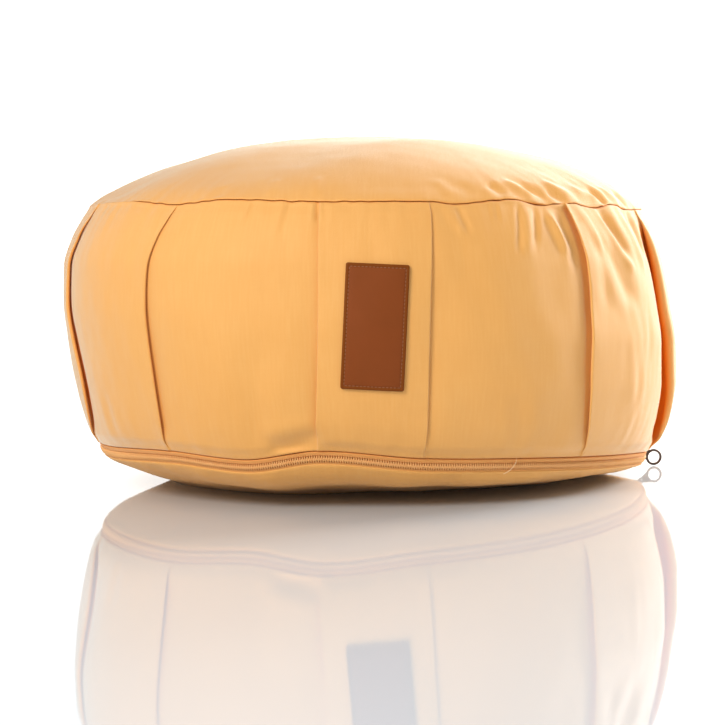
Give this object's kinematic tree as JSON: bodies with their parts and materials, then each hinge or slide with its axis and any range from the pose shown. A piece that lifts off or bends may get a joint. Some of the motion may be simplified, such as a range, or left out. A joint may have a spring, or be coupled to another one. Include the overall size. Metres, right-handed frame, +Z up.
{
  "type": "zafu meditation cushion",
  "caption": "Round, firmly filled floor cushion with a crowned top, a pleated side band, a zip round the lower edge and a leather patch.",
  "frame": {"origin": "on the floor, under the middle of the cushion", "axes": "+Z up; -Y the way the patch faces; +X to the right seen from the patch's side, where the zip's slider is"},
  "size_m": [0.3351, 0.3372, 0.1875],
  "materials": {
    "cotton": "plain-woven apricot cotton, matt",
    "zip": "woven tape and moulded coil in the cover's colour",
    "dark_metal": "dark bronze lacquer, satin",
    "leather": "smooth brown leather with dark cut edges"
  },
  "bodies": {
    "root": {"top_panel": "cotton", "side_band": "cotton", "bottom_panel": "cotton", "zip": "zip", "zip_slider": "dark_metal", "zip_pull": "dark_metal", "leather_patch": "leather"}
  },
  "joints": []
}
